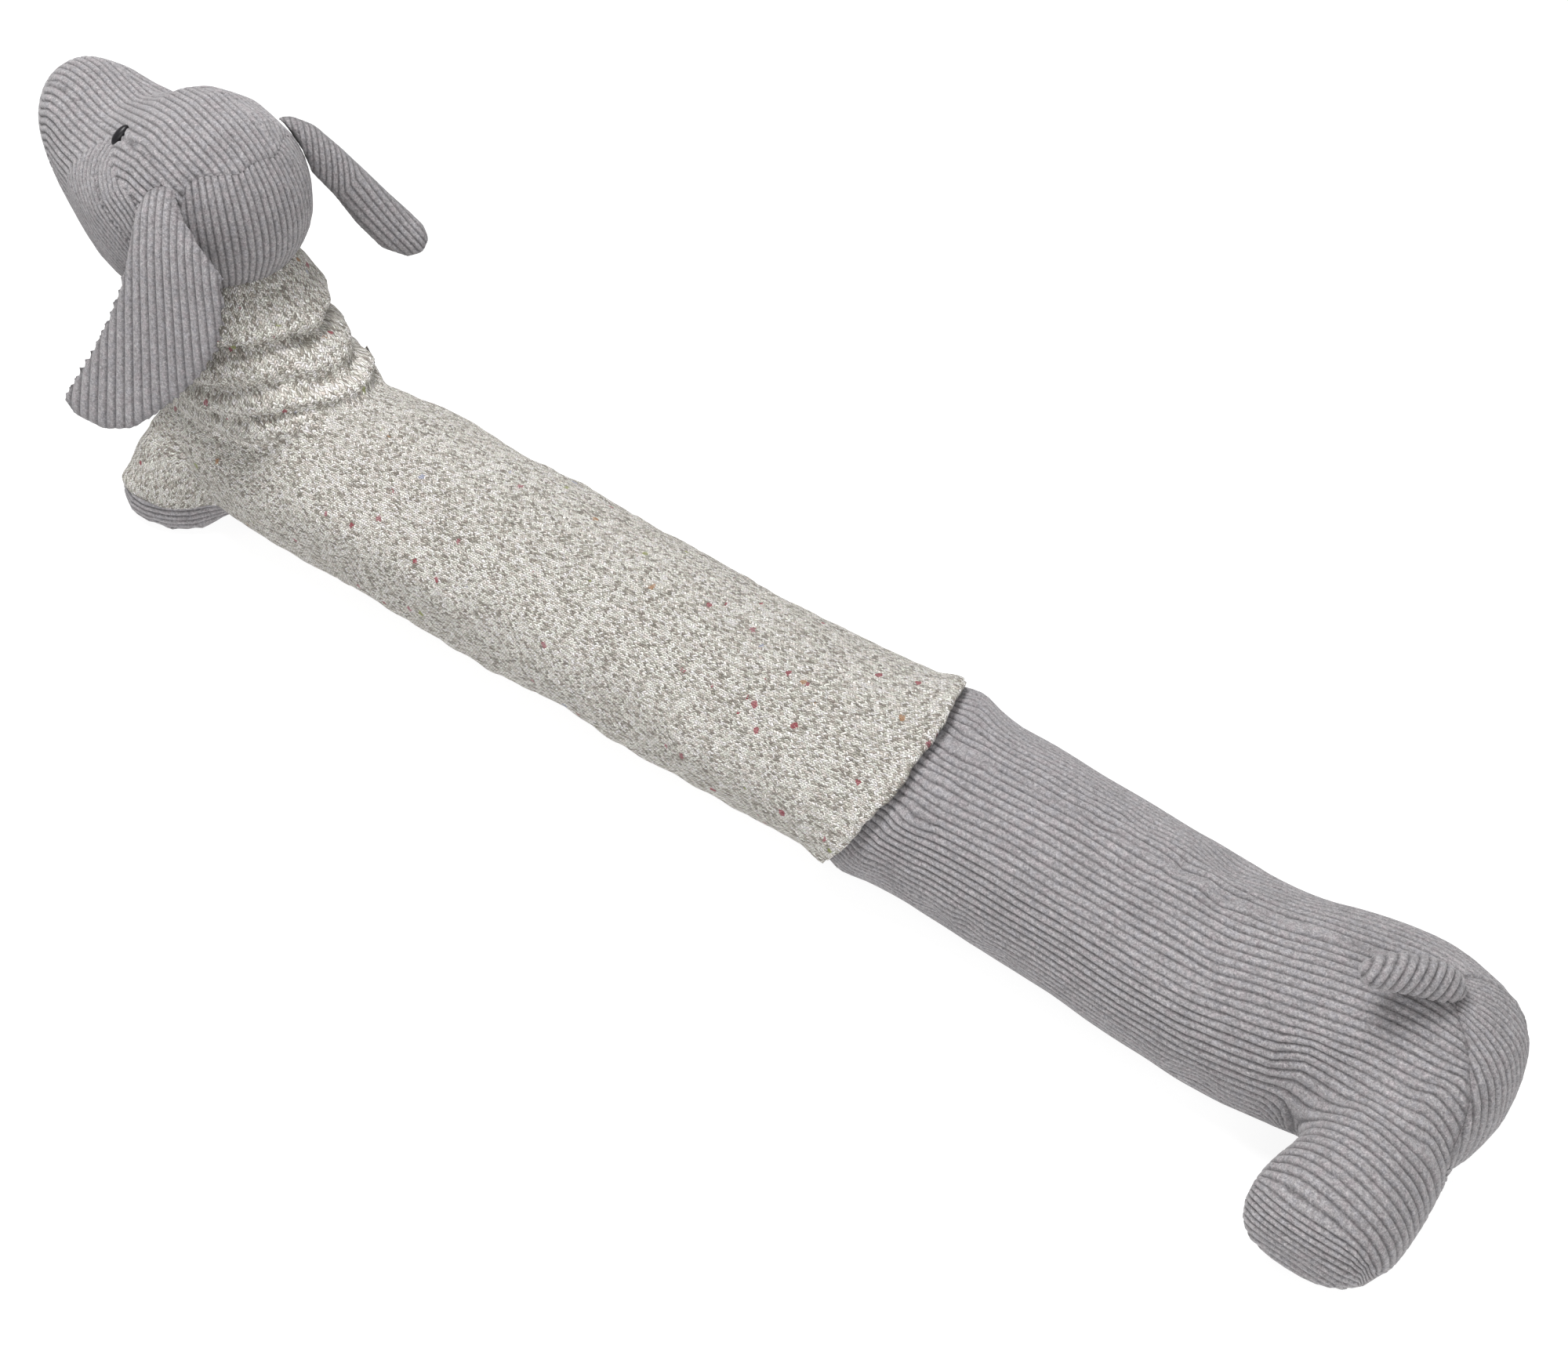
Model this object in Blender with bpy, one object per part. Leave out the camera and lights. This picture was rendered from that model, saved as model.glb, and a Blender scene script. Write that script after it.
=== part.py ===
"""Dachshund draught excluder: a filled corduroy dog in a knitted roll-neck jumper.

Metres, +Z up, nose towards -X, the left flank towards -Y. It lies on the
surface z = 0, so every underside is flat there.
"""

import math

import bmesh
import bpy
from mathutils import Matrix, Vector

# ---------------------------------------------------------------- sizes
SIDES = 24              # sides of the body tube and of the jumper round it
LIMB_SIDES = 18
WALL = 0.0028           # thickness of the knit
GAP = 0.0004            # between the knit and the corduroy under it
HEM_X = 0.174           # where the jumper ends on the spine
HEM_DROP = 0.070        # how much further forward it ends under the belly
HEM_TURN = 25.0         # the hem reaches furthest back this far round from the top
HEM_REACH = 0.125       # the slant of the hem dies out this far from it
SLEEVE_END_Z = 0.017    # the sleeves stop this far above the surface
HEAD_GAP = 0.0006       # between the head and the pieces sewn to it
EAR_THICK = 0.0032      # half the thickness of an ear, two layers of corduroy
SHIFT = Vector((-0.0039, 0.0074, 0.0))   # brings the origin under the middle of the box

# The body tube. side is half its width, top its height, sway how far its
# middle lies from y = 0, belly how deep the round section would reach under
# the surface that flattens it.
BODY = (
    # x,      sway,    side,   top,    belly
    (-0.388,  0.0000,  0.010,  0.062, -0.030),
    (-0.384,  0.0000,  0.022,  0.076, -0.014),
    (-0.372,  0.0000,  0.034,  0.089, -0.002),
    (-0.350,  0.0000,  0.0430, 0.096,  0.003),
    (-0.320,  0.0000,  0.0485, 0.101,  0.004),
    (-0.270,  0.0015,  0.0535, 0.1045, 0.004),
    (-0.200,  0.0035,  0.0560, 0.1055, 0.004),
    (-0.125,  0.0020,  0.0550, 0.1030, 0.004),
    (-0.060,  0.0010,  0.0540, 0.1015, 0.004),
    (0.000,   0.0006,  0.0538, 0.1010, 0.004),
    (0.045,  -0.0012,  0.0535, 0.1000, 0.004),
    (0.085,  -0.0005,  0.0530, 0.1000, 0.004),
    (0.130,  -0.0005,  0.0545, 0.1010, 0.004),
    (0.168,   0.0016,  0.0535, 0.1015, 0.005),
    (0.185,  -0.0008,  0.0502, 0.0968, 0.005),
    (0.230,  -0.0020,  0.0502, 0.0952, 0.005),
    (0.270,  -0.0048,  0.0504, 0.0932, 0.005),
    (0.305,  -0.0076,  0.0506, 0.0915, 0.005),
    (0.340,  -0.0095,  0.0506, 0.0902, 0.005),
    (0.378,  -0.0055,  0.0525, 0.0950, 0.005),
    (0.415,  -0.0025,  0.0520, 0.0970, 0.003),
    (0.436,  -0.0035,  0.0490, 0.0945, -0.001),
    (0.449,  -0.0050,  0.0445, 0.0905, -0.009),
    (0.458,  -0.0065,  0.0370, 0.0850, -0.019),
    (0.464,  -0.0075,  0.0250, 0.0765, -0.031),
    (0.467,  -0.0075,  0.0110, 0.0680, -0.043),
)
IN_JUMPER = WALL + GAP   # the corduroy is this much smaller where it is dressed

# The neck, a tube that rises from the chest to the head. lean is its tilt
# about Y in degrees, so that its rings dip towards the throat.
NECK = (
    # x,      z,      along,  across, lean
    (-0.292,  0.050,  0.060,  0.040,  0.0),
    (-0.303,  0.082,  0.073,  0.044,  6.0),
    (-0.312,  0.098,  0.072,  0.045,  8.0),
    (-0.322,  0.110,  0.066,  0.0445, 9.5),
    (-0.332,  0.124,  0.063,  0.0430, 11.0),
    (-0.341,  0.138,  0.058,  0.0415, 13.0),
    (-0.342,  0.150,  0.053,  0.0400, 15.0),
    (-0.343,  0.160,  0.049,  0.0385, 15.0),
)
# The folds of the jumper's neck: how far each ring of the knit stands out.
FOLDS = (
    # z,      out
    (0.050,   0.0000),
    (0.088,   0.0000),
    (0.095,   0.0022),
    (0.1005, -0.0010),
    (0.107,   0.0042),
    (0.113,  -0.0012),
    (0.121,   0.0040),
    (0.129,  -0.0010),
    (0.137,   0.0036),
    (0.148,   0.0030),
    (0.155,   0.0000),
)
NECK_STATIONS = (0.050, 0.088, 0.095, 0.1005, 0.107, 0.113, 0.121, 0.129, 0.137, 0.148, 0.1545)

# Each leg is a tube: along is its half width along the body, thick across it.
HIND_LEFT = (
    # x,      y,      z,      along,  thick
    (0.437,  -0.012,  0.050,  0.0210, 0.030),
    (0.437,  -0.030,  0.045,  0.0235, 0.033),
    (0.436,  -0.050,  0.040,  0.0265, 0.034),
    (0.4335, -0.068,  0.034,  0.0305, 0.034),
    (0.4305, -0.085,  0.029,  0.0330, 0.031),
    (0.4285, -0.100,  0.0265, 0.0305, 0.024),
    (0.4275, -0.110,  0.025,  0.0220, 0.014),
)
HIND_RIGHT = (
    # the far one is tucked further under
    (0.412,   0.008,  0.046,  0.0260, 0.028),
    (0.408,   0.024,  0.036,  0.0280, 0.030),
    (0.403,   0.038,  0.028,  0.0290, 0.029),
    (0.399,   0.051,  0.021,  0.0290, 0.025),
    (0.396,   0.062,  0.016,  0.0270, 0.019),
    (0.395,   0.069,  0.013,  0.0200, 0.012),
)
FRONT = (
    # x,      y,      z,      along,  thick    (the left one; the right mirrors it)
    (-0.344, -0.012,  0.066,  0.026,  0.020),
    (-0.348, -0.018,  0.050,  0.030,  0.025),
    (-0.354, -0.025,  0.034,  0.0325, 0.0285),
    (-0.358, -0.030,  0.020,  0.0335, 0.0295),
    (-0.362, -0.033,  0.012,  0.0370, 0.0325),
    (-0.363, -0.034,  0.004,  0.0365, 0.0320),
    (-0.363, -0.034,  0.000,  0.0335, 0.0290),
)

FRONT_RIGHT = tuple((row[0], -row[1]) + row[2:] for row in FRONT)
LEGS = (("hind_left", HIND_LEFT), ("hind_right", HIND_RIGHT), ("front_left", FRONT), ("front_right", FRONT_RIGHT))

# The head: rings across its length, from the back of the skull to the nose.
HEAD = (
    # x,      z,      side,   up,     down
    (-0.2765, 0.200,  0.0080, 0.008,  0.008),
    (-0.2795, 0.200,  0.0200, 0.022,  0.019),
    (-0.2880, 0.200,  0.0345, 0.038,  0.033),
    (-0.3030, 0.200,  0.0470, 0.053,  0.045),
    (-0.3260, 0.200,  0.0530, 0.059,  0.053),
    (-0.3480, 0.200,  0.0540, 0.056,  0.064),
    (-0.3680, 0.200,  0.0520, 0.0455, 0.073),
    (-0.3870, 0.202,  0.0475, 0.0365, 0.076),
    (-0.4050, 0.205,  0.0415, 0.0380, 0.071),
    (-0.4210, 0.209,  0.0365, 0.0400, 0.060),
    (-0.4350, 0.211,  0.0305, 0.0380, 0.047),
    (-0.4460, 0.211,  0.0240, 0.0310, 0.034),
    (-0.4540, 0.209,  0.0155, 0.0190, 0.021),
    (-0.4570, 0.208,  0.0060, 0.0080, 0.009),
)
HEAD_SIDES = 22

# The near ear is a leaf: each row gives the back and the front edge, from the
# root on the head down to the tip. The far ear is rolled along its length.
EAR_LEFT = (
    # back x,  y,       z,       front x, y,       z
    (-0.3060, -0.0385,  0.2320, -0.3185, -0.0400,  0.2310),
    (-0.3010, -0.0425,  0.2285, -0.3232, -0.0460,  0.2255),
    (-0.2880, -0.0485,  0.2215, -0.3245, -0.0560,  0.2145),
    (-0.2714, -0.0520,  0.2105, -0.3250, -0.0640,  0.1964),
    (-0.2586, -0.0520,  0.1982, -0.3310, -0.0700,  0.1738),
    (-0.2586, -0.0545,  0.1789, -0.3401, -0.0760,  0.1537),
    (-0.2621, -0.0590,  0.1584, -0.3522, -0.0825,  0.1325),
    (-0.2732, -0.0650,  0.1399, -0.3645, -0.0892,  0.1122),
    (-0.2906, -0.0726,  0.1207, -0.3725, -0.0938,  0.0992),
    (-0.3052, -0.0784,  0.1074, -0.3640, -0.0935,  0.0914),
    (-0.3203, -0.0839,  0.0957, -0.3432, -0.0899,  0.0890),
)
EAR_RIGHT = (
    # x,      y,      z,      wide,   deep
    (-0.3140, 0.0370, 0.2300, 0.0080, 0.0050),
    (-0.3100, 0.0410, 0.2290, 0.0095, 0.0065),
    (-0.3049, 0.0470, 0.2235, 0.0108, 0.0080),
    (-0.2984, 0.0550, 0.2103, 0.0115, 0.0090),
    (-0.2921, 0.0640, 0.1949, 0.0120, 0.0095),
    (-0.2857, 0.0730, 0.1772, 0.0135, 0.0100),
    (-0.2787, 0.0820, 0.1620, 0.0140, 0.0100),
    (-0.2700, 0.0885, 0.1550, 0.0110, 0.0080),
    (-0.2650, 0.0915, 0.1520, 0.0050, 0.0040),
)
EAR_RIGHT_FACE = (-0.72, 0.516, -0.465)   # its width lies square to this

TAIL = (
    # x,      y,      z,      radius
    (0.432,   0.001,  0.0880, 0.0070),
    (0.429,  -0.003,  0.0960, 0.0082),
    (0.426,  -0.007,  0.1020, 0.0088),
    (0.420,  -0.014,  0.1070, 0.0088),
    (0.413,  -0.022,  0.1105, 0.0084),
    (0.406,  -0.030,  0.1125, 0.0070),
    (0.403,  -0.034,  0.1125, 0.0040),
)

EYE = (0.0033, 0.0027, 0.0066)      # half sizes of a bead eye: across, out, along
EYE_AT = (-0.3584, 0.0312, 0.2395)
EYE_OUT = (-0.31, 0.53, 0.79)       # it faces this way, and its length is set by the next line
EYE_ALONG = (0.163, -0.78, 0.60)
NOSE = (0.0062, 0.0115, 0.0070)     # half sizes of the nose button
NOSE_AT = (-0.4530, 0.0, 0.2212)

COLOURS = {
    "cord": (0.33, 0.31, 0.32, 1.0),
    "knit": (0.55, 0.52, 0.47, 1.0),
    "bead": (0.010, 0.010, 0.012, 1.0),
}


# ---------------------------------------------------------------- helpers
def clear():
    for obj in list(bpy.data.objects):
        bpy.data.objects.remove(obj, do_unlink=True)


def collection(name):
    found = bpy.data.collections.new(name)
    bpy.context.scene.collection.children.link(found)
    return found


def material(name, colour, roughness):
    mat = bpy.data.materials.new(name)
    mat.use_nodes = True
    shader = mat.node_tree.nodes["Principled BSDF"]
    shader.inputs["Base Color"].default_value = colour
    shader.inputs["Roughness"].default_value = roughness
    shader.inputs["Metallic"].default_value = 0.0
    return mat


def between(rows, at, key=0):
    """The columns of a table at one value of its key column, on a smooth curve through its rows."""
    rows = sorted(rows, key=lambda row: row[key])
    at = min(max(at, rows[0][key]), rows[-1][key])
    i = 0
    while i < len(rows) - 2 and rows[i + 1][key] < at:
        i += 1
    a, b = rows[i], rows[i + 1]
    before, after = rows[max(i - 1, 0)], rows[min(i + 2, len(rows) - 1)]
    span = b[key] - a[key]
    t = (at - a[key]) / span
    out = []
    for k in range(len(a)):
        slope_a = (b[k] - before[k]) / (b[key] - before[key]) * span
        slope_b = (after[k] - a[k]) / (after[key] - a[key]) * span
        t2, t3 = t * t, t * t * t
        out.append((2 * t3 - 3 * t2 + 1) * a[k] + (t3 - 2 * t2 + t) * slope_a
                   + (3 * t2 - 2 * t3) * b[k] + (t3 - t2) * slope_b)
    return out


def loft(name, rings, where, mat, helper=False):
    """A closed tube through rings of equally many points, with a flat cap at each end."""
    bm = bmesh.new()
    loops = [[bm.verts.new(Vector(p) + SHIFT) for p in ring] for ring in rings]
    count = len(loops[0])
    for low, high in zip(loops, loops[1:]):
        for i in range(count):
            j = (i + 1) % count
            bm.faces.new((low[i], low[j], high[j], high[i]))
    bm.faces.new(list(reversed(loops[0])))
    bm.faces.new(loops[-1])
    bmesh.ops.recalc_face_normals(bm, faces=bm.faces)
    mesh = bpy.data.meshes.new(name)
    bm.to_mesh(mesh)
    bm.free()
    return place(name, mesh, where, mat, helper)


def place(name, mesh, where, mat, helper=False):
    mesh.materials.clear()
    mesh.materials.append(mat)
    mesh.shade_smooth()
    obj = bpy.data.objects.new(name, mesh)
    where.objects.link(obj)
    if helper:
        obj.hide_render = True
        obj.display_type = "WIRE"
    return obj


def combine(obj, other, operation):
    modifier = obj.modifiers.new(operation.title() + " " + other.name, "BOOLEAN")
    modifier.operation = operation
    modifier.solver = "EXACT"
    modifier.object = other


def basis(out, along):
    """A frame whose second axis points out and whose third lies along, as near as it can."""
    out = Vector(out).normalized()
    along = Vector(along)
    along = (along - out * along.dot(out)).normalized()
    return Matrix((out.cross(along), out, along)).transposed().to_4x4()


def ellipsoid(name, at, half, turn, where, mat, grow=0.0, helper=False):
    bm = bmesh.new()
    bmesh.ops.create_uvsphere(bm, u_segments=14, v_segments=8, radius=1.0)
    scale = Matrix.Diagonal((half[0] + grow, half[1] + grow, half[2] + grow, 1.0))
    place_at = Matrix.Translation(Vector(at) + SHIFT) @ turn
    bmesh.ops.transform(bm, matrix=place_at @ scale, verts=bm.verts)
    mesh = bpy.data.meshes.new(name)
    bm.to_mesh(mesh)
    bm.free()
    return place(name, mesh, where, mat, helper)


# ---------------------------------------------------------------- the tubes
def fade(distance, reach):
    t = min(1.0, abs(distance) / reach)
    return 1 - t * t * (3 - 2 * t)


def body_ring(x, inset, floor):
    """One ring round the body. Rings near the hem slant with it, and an inset also draws in the chest end."""
    ring = []
    at = x + inset * fade(x - BODY[0][0], 0.06)
    for i in range(SIDES):
        angle = math.tau * (i + 0.5) / SIDES
        round_from_top = math.degrees(angle) - 90
        slant = HEM_DROP * (math.cos(math.radians(round_from_top - HEM_TURN)) - 1) / 2
        here = at + slant * fade(x - HEM_X, HEM_REACH)
        _, sway, side, top, belly = between(BODY, x + slant * fade(x - HEM_X, HEM_REACH))
        y = sway + (side - inset) * math.cos(angle)
        z = (top - belly) / 2 + ((top + belly) / 2 - inset) * math.sin(angle)
        ring.append((here, y, max(z, floor)))
    return ring


def neck_ring(z, inset, folds):
    x, height, along, across, lean = between(NECK, z, key=1)
    out = -inset
    if folds:
        out += between(FOLDS, z)[1]
    tilt = math.radians(lean)
    ring = []
    for i in range(SIDES):
        angle = math.tau * i / SIDES
        fore = (along + out) * math.cos(angle)
        ring.append((x + fore * math.cos(tilt), (across + out) * math.sin(angle),
                     height + fore * math.sin(tilt)))
    return ring


def limb_rings(rows, inset, floor):
    """Rings square to the way a leg points."""
    spots = [Vector(row[:3]) for row in rows]
    rings = []
    for i, row in enumerate(rows):
        way = (spots[min(i + 1, len(rows) - 1)] - spots[max(i - 1, 0)]).normalized()
        thick_way = way.cross(Vector((1, 0, 0))).normalized()
        ring = []
        for k in range(LIMB_SIDES):
            angle = math.tau * k / LIMB_SIDES
            p = spots[i] + Vector((1, 0, 0)) * (row[3] - inset) * math.cos(angle) \
                + thick_way * (row[4] - inset) * math.sin(angle)
            p.z = max(p.z, floor)
            ring.append(p)
        rings.append(ring)
    return rings


def leaf_rings(rows, thick, sides=14):
    """Flat rings down the near ear, from its back edge to its front edge, thin at both."""
    rings = []
    mids = [(Vector(row[:3]) + Vector(row[3:])) / 2 for row in rows]
    for i, row in enumerate(rows):
        way = (mids[min(i + 1, len(rows) - 1)] - mids[max(i - 1, 0)]).normalized()
        wide = (Vector(row[3:]) - Vector(row[:3])) / 2
        flat = way.cross(wide).normalized() * thick * min(1.0, wide.length / 0.012)
        rings.append([mids[i] + wide * math.cos(math.tau * k / sides) + flat * math.sin(math.tau * k / sides)
                      for k in range(sides)])
    return rings


def roll_rings(rows, face, sides=14):
    """Oval rings down a tube, wide along the side square to face."""
    rings = []
    for i, (x, y, z, wide, deep) in enumerate(rows):
        way = (Vector(rows[min(i + 1, len(rows) - 1)][:3]) - Vector(rows[max(i - 1, 0)][:3])).normalized()
        one = way.cross(Vector(face)).normalized()
        two = way.cross(one)
        rings.append([Vector((x, y, z)) + one * wide * math.cos(math.tau * k / sides)
                      + two * deep * math.sin(math.tau * k / sides) for k in range(sides)])
    return rings


# ---------------------------------------------------------------- the pieces
def stations(start, end, count):
    """Places along the body, packed closer at its rounded ends."""
    first, last = BODY[0][0], BODY[-1][0]
    out = []
    for i in range(count):
        t = i / (count - 1)
        if start == first:
            t = t ** 1.5
        if end == last:
            t = 1 - (1 - t) ** 1.5
        out.append(start + (end - start) * t)
    return out


def make_body(parts, cutters, mat, head_cutter):
    """One filled solid: tube, neck and legs. It is slimmer where the jumper covers it."""
    dressed = [body_ring(x, IN_JUMPER, IN_JUMPER) for x in stations(BODY[0][0], HEM_X, 20)]
    dressed.append([(x + 0.002, y, z) for x, y, z in dressed[-1]])
    bare = [body_ring(x, 0.0, 0.0) for x in stations(HEM_X + 0.006, BODY[-1][0], 16)]
    body = loft("body", dressed + bare, parts, mat)
    neck = [neck_ring(z, IN_JUMPER + 0.0018, False) for z in NECK_STATIONS]
    combine(body, loft("neck_form", neck, cutters, mat, helper=True), "UNION")
    for name, rows in LEGS:
        combine(body, loft(name + "_form", limb_rings(rows, 0.0, 0.0), cutters, mat, helper=True), "UNION")
    combine(body, head_cutter, "DIFFERENCE")
    return body


def make_jumper(parts, cutters, mat, head_cutter):
    """A knitted tube with two sleeves and a roll neck, in folds where it is pushed down."""
    along = stations(BODY[0][0], HEM_X, 20)
    jumper = loft("jumper", [body_ring(x, 0.0, 0.0) for x in along], parts, mat)
    neck = [neck_ring(z, 0.0, True) for z in NECK_STATIONS]
    combine(jumper, loft("neck_knit", neck, cutters, mat, helper=True), "UNION")
    for name, rows in LEGS[2:]:
        count = len([row for row in rows if row[2] > SLEEVE_END_Z])
        rings = limb_rings(rows, -IN_JUMPER, 0.0)[:count]
        rings.append([Vector((p.x, p.y, p.z - 0.002)) for p in rings[-1]])
        combine(jumper, loft(name + "_sleeve", rings, cutters, mat, helper=True), "UNION")
    room = [body_ring(x, WALL, WALL) for x in along]
    room.append([(x + 0.02, y, z) for x, y, z in room[-1]])
    combine(jumper, loft("body_room", room, cutters, mat, helper=True), "DIFFERENCE")
    room = [neck_ring(z, WALL, True) for z in NECK_STATIONS]
    room.append([(x, y, z + 0.02) for x, y, z in room[-1]])
    combine(jumper, loft("neck_room", room, cutters, mat, helper=True), "DIFFERENCE")
    for name, rows in LEGS[2:]:
        rings = limb_rings(rows, -GAP, -1.0)
        rings.append([Vector((p[0], p[1], p[2] - 0.02)) for p in rings[-1]])
        combine(jumper, loft(name + "_room", rings, cutters, mat, helper=True), "DIFFERENCE")
    combine(jumper, head_cutter, "DIFFERENCE")
    return jumper


def head_rings(grow=0.0):
    rings = []
    for x, z, side, up, down in HEAD:
        ring = []
        for k in range(HEAD_SIDES):
            angle = math.tau * k / HEAD_SIDES
            tall = up if math.sin(angle) > 0 else down
            ring.append((x, (side + grow) * math.cos(angle), z + (tall + grow) * math.sin(angle)))
        rings.append(ring)
    return rings


def main():
    clear()
    parts = collection("draught_excluder")
    cutters = collection("forms")
    cord = material("cord", COLOURS["cord"], 0.95)
    knit = material("knit", COLOURS["knit"], 0.95)
    bead = material("bead", COLOURS["bead"], 0.2)

    head_cutter = loft("head_room", head_rings(HEAD_GAP), cutters, cord, helper=True)
    make_body(parts, cutters, cord, head_cutter)
    make_jumper(parts, cutters, knit, head_cutter)
    head = loft("head", head_rings(), parts, cord)
    for name, side in (("eye_left", -1), ("eye_right", 1)):
        at, out, along = ((v[0], side * v[1], v[2]) for v in (EYE_AT, EYE_OUT, EYE_ALONG))
        turn = basis(out, along)
        ellipsoid(name, at, EYE, turn, parts, bead)
        combine(head, ellipsoid(name + "_pocket", at, EYE, turn, cutters, bead, grow=0.0004, helper=True), "DIFFERENCE")
    ellipsoid("nose", NOSE_AT, NOSE, Matrix(), parts, bead)
    combine(head, ellipsoid("nose_pocket", NOSE_AT, NOSE, Matrix(), cutters, bead, grow=0.0004, helper=True), "DIFFERENCE")
    combine(loft("ear_left", leaf_rings(EAR_LEFT, EAR_THICK), parts, cord), head_cutter, "DIFFERENCE")
    combine(loft("ear_right", roll_rings(EAR_RIGHT, EAR_RIGHT_FACE), parts, cord), head_cutter, "DIFFERENCE")
    tail_rings = roll_rings([row + (row[3],) for row in TAIL], (0, 0, 1), 12)
    seat = [body_ring(x, -GAP, -0.01) for x in stations(HEM_X + 0.15, BODY[-1][0], 12)]
    combine(loft("tail", tail_rings, parts, cord), loft("tail_seat", seat, cutters, cord, helper=True), "DIFFERENCE")


main()
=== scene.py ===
"""Looks of the dachshund draught excluder: jumbo corduroy with real wales, and a marled knitted jumper."""

import math

import bpy
import numpy as np
from mathutils import Matrix, Vector


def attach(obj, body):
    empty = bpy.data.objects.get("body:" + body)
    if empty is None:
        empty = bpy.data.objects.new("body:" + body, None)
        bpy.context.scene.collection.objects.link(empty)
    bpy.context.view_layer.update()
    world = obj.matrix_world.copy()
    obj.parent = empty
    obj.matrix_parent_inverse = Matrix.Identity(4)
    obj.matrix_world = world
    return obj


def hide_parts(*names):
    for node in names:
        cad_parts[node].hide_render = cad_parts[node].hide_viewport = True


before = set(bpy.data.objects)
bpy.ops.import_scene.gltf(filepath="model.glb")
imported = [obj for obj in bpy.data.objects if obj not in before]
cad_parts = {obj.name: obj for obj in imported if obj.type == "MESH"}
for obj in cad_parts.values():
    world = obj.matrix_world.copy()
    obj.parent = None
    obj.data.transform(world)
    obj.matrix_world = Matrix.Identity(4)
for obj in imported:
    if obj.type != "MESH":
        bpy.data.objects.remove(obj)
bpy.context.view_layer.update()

# ---------------------------------------------------------------- sizes, metres
SHIFT = np.array([-0.0039, 0.0074, 0.0])     # the tables below are given before this shift
WALE = 0.0042                                # from one groove of the corduroy to the next
PILE = 0.0012                                # how far a wale stands above its groove
HEM_X, HEM_DROP, HEM_TURN = 0.174, 0.070, 25.0
SLEEVE_Z = 0.0185
KNIT_THICK = 0.0026
WALE_STEPS = ((0.0, 0.0), (0.27, 0.92), (0.73, 0.92))

BODY = (
    # x,      sway,    side,   top,    belly
    (-0.388,  0.0000,  0.010,  0.062, -0.030),
    (-0.384,  0.0000,  0.022,  0.076, -0.014),
    (-0.372,  0.0000,  0.034,  0.089, -0.002),
    (-0.350,  0.0000,  0.0430, 0.096,  0.003),
    (-0.320,  0.0000,  0.0485, 0.101,  0.004),
    (-0.270,  0.0015,  0.0535, 0.1045, 0.004),
    (-0.200,  0.0035,  0.0560, 0.1055, 0.004),
    (-0.125,  0.0020,  0.0550, 0.1030, 0.004),
    (-0.060,  0.0010,  0.0540, 0.1015, 0.004),
    (0.000,   0.0006,  0.0538, 0.1010, 0.004),
    (0.045,  -0.0012,  0.0535, 0.1000, 0.004),
    (0.085,  -0.0005,  0.0530, 0.1000, 0.004),
    (0.130,  -0.0005,  0.0545, 0.1010, 0.004),
    (0.168,   0.0016,  0.0535, 0.1015, 0.005),
    (0.185,  -0.0008,  0.0502, 0.0968, 0.005),
    (0.230,  -0.0020,  0.0502, 0.0952, 0.005),
    (0.270,  -0.0048,  0.0504, 0.0932, 0.005),
    (0.305,  -0.0076,  0.0506, 0.0915, 0.005),
    (0.340,  -0.0095,  0.0506, 0.0902, 0.005),
    (0.378,  -0.0055,  0.0525, 0.0950, 0.005),
    (0.415,  -0.0025,  0.0520, 0.0970, 0.003),
    (0.436,  -0.0035,  0.0490, 0.0945, -0.001),
    (0.467,  -0.0075,  0.0110, 0.0680, -0.043),
)
NECK = (
    # z,      x,      along,  across, lean
    (0.050,  -0.292,  0.060,  0.040,  0.0),
    (0.082,  -0.303,  0.073,  0.044,  6.0),
    (0.098,  -0.312,  0.072,  0.045,  8.0),
    (0.110,  -0.322,  0.066,  0.0445, 9.5),
    (0.124,  -0.332,  0.063,  0.0430, 11.0),
    (0.138,  -0.341,  0.058,  0.0415, 13.0),
    (0.150,  -0.342,  0.053,  0.0400, 15.0),
    (0.160,  -0.343,  0.049,  0.0385, 15.0),
)
# The folds of the roll neck: how far the knit stands out at each height.
FOLDS = (
    # z,      out,     only at the back and far side
    (0.050,   0.0000,  0.0),
    (0.080,   0.0000,  0.0),
    (0.0855,  0.0040,  1.0),
    (0.0890,  0.0064,  1.0),
    (0.0925,  0.0058,  1.0),
    (0.0950, -0.0052,  1.0),
    (0.0968,  0.0030,  1.0),
    (0.1000,  0.0078,  1.0),
    (0.1035,  0.0060,  1.0),
    (0.1060, -0.0062,  1.0),
    (0.1080,  0.0030,  0.8),
    (0.1130,  0.0078,  0.5),
    (0.1180,  0.0064,  0.3),
    (0.1215,  0.0020,  0.2),
    (0.1240, -0.0080,  0.0),
    (0.1258, -0.0070,  0.0),
    (0.1276,  0.0074,  0.0),
    (0.1310,  0.0112,  0.0),
    (0.1380,  0.0092,  0.0),
    (0.1450,  0.0070,  0.0),
    (0.1520,  0.0036,  0.0),
    (0.1590, -0.0030,  0.0),
)
FRONT = (
    # x,      y,      z,      along,  thick
    (-0.344, -0.012,  0.066,  0.026,  0.020),
    (-0.348, -0.018,  0.050,  0.030,  0.025),
    (-0.354, -0.025,  0.034,  0.0325, 0.0285),
    (-0.358, -0.030,  0.020,  0.0335, 0.0295),
    (-0.362, -0.033,  0.012,  0.0340, 0.0300),
)
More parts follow.
